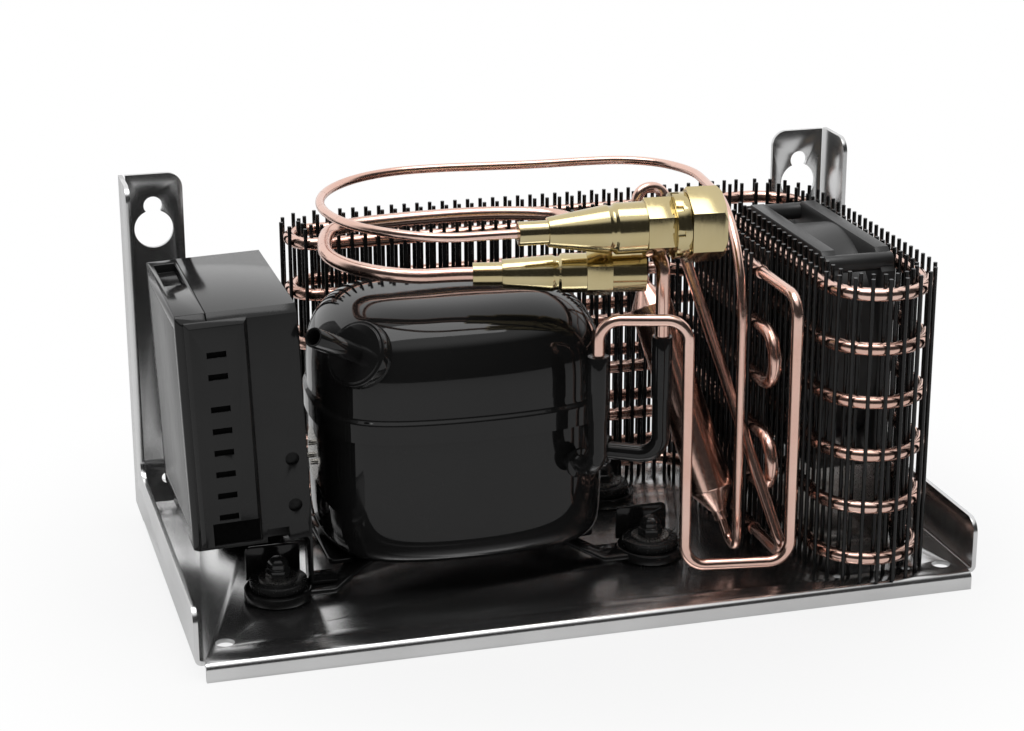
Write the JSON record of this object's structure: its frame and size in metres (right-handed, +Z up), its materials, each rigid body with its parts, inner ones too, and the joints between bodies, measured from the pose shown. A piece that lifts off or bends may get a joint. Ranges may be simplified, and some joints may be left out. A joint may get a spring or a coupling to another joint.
{
  "type": "refrigeration condensing unit",
  "caption": "Compact refrigeration condensing unit: sealed compressor, wire and tube condenser with fan, electronics unit and copper lines with brass couplings on a folded steel tray.",
  "frame": {"origin": "centre of the footprint on the plane that the tray's lips stand on", "axes": "+X along the tray toward the condenser's fan end, +Y toward the rear tabs, +Z up"},
  "size_m": [0.35, 0.19, 0.1837],
  "materials": {
    "sheet": "satin rolled sheet with bright edges",
    "shell_enamel": "gloss black enamel",
    "bracket_enamel": "semi gloss black",
    "fastener_steel": "zinc plated",
    "black_nuts": "blackened",
    "rubber": "matt",
    "terminal_steel": "nickel plated with glass beads",
    "lamination_steel": "stacked laminations",
    "winding_copper": "varnished copper wire",
    "machined_steel": "ground",
    "cast_iron": "machined casting",
    "case_plastic": "gloss black",
    "sink_aluminium": "fine satin",
    "board": "solder resist",
    "terminal_tin": "tinned",
    "copper": "bright drawn copper",
    "wire_enamel": "gloss black enamel",
    "fan_plastic": "fine satin",
    "desiccant": "bonded beads",
    "brass": "bright turned"
  },
  "bodies": {
    "unit": {"base_tray": "sheet", "foot_bolts": "fastener_steel", "foot_nuts": "black_nuts", "foot_grommets": "rubber", "foot_sleeves": "fastener_steel", "left_foot_bracket": "bracket_enamel", "right_foot_bracket": "bracket_enamel", "lower_shell": "shell_enamel", "upper_shell": "shell_enamel", "suction_connector": "shell_enamel", "discharge_connector": "shell_enamel", "process_connector": "shell_enamel", "sealed_terminal": "terminal_steel", "motor_stator": "lamination_steel", "motor_windings": "winding_copper", "cylinder_block": "cast_iron", "valve_plate": "machined_steel", "cylinder_head": "cast_iron", "suspension_springs": "machined_steel", "electronics_housing": "case_plastic", "electronics_lid": "case_plastic", "heat_sink": "sink_aluminium", "circuit_board": "board", "spade_terminals": "terminal_tin", "case_screws": "fastener_steel", "electronics_bracket": "bracket_enamel", "condenser_tube": "copper", "wires_right_inner": "wire_enamel", "wires_back_inner": "wire_enamel", "wires_left_turn": "wire_enamel", "wires_back_outer": "wire_enamel", "wires_right_outer": "wire_enamel", "wires_front_turn": "wire_enamel", "wires_right_front": "wire_enamel", "fan_frame": "fan_plastic", "fan_motor": "fan_plastic", "fan_screws": "fastener_steel", "fan_bracket": "fastener_steel", "bracket_screws": "fastener_steel", "discharge_line": "copper", "outlet_line": "copper", "filter_drier": "copper", "drier_core": "desiccant", "liquid_line": "copper", "suction_line": "copper", "upper_coupling": "brass", "upper_sleeve": "brass", "upper_seal": "rubber", "lower_coupling": "brass", "lower_gland": "brass", "lower_seal": "rubber"},
    "crank": {"crankshaft": "machined_steel", "motor_rotor": "lamination_steel"},
    "piston": {"piston": "cast_iron", "wrist_pin": "machined_steel"},
    "rod": {"connecting_rod": "cast_iron"},
    "fan": {"fan_rotor": "fan_plastic"},
    "nut": {"union_nut": "brass"}
  },
  "joints": [
    {"name": "crank_spin", "type": "hinge", "parent": "unit", "child": "crank", "pos_m": [-0.036, -0.001, 0.07], "axis": [0, 0, 1], "continuous": true},
    {"name": "piston_slide", "type": "slide", "parent": "unit", "child": "piston", "axis": [1, 0, 0], "range_m": [-0.0029, 0.0029]},
    {"name": "rod_swing", "type": "hinge", "parent": "piston", "child": "rod", "pos_m": [-0.066, -0.001, 0.099], "axis": [0, 0, 1], "range_deg": [-5.5, 5.5]},
    {"name": "fan_spin", "type": "hinge", "parent": "unit", "child": "fan", "pos_m": [0.1295, -0.004, 0.0965], "axis": [1, 0, 0], "continuous": true},
    {"name": "nut_turn", "type": "hinge", "parent": "unit", "child": "nut", "pos_m": [0.05157, -0.05591, 0.167], "axis": [0.9963, -0.0854, 0], "continuous": true}
  ]
}
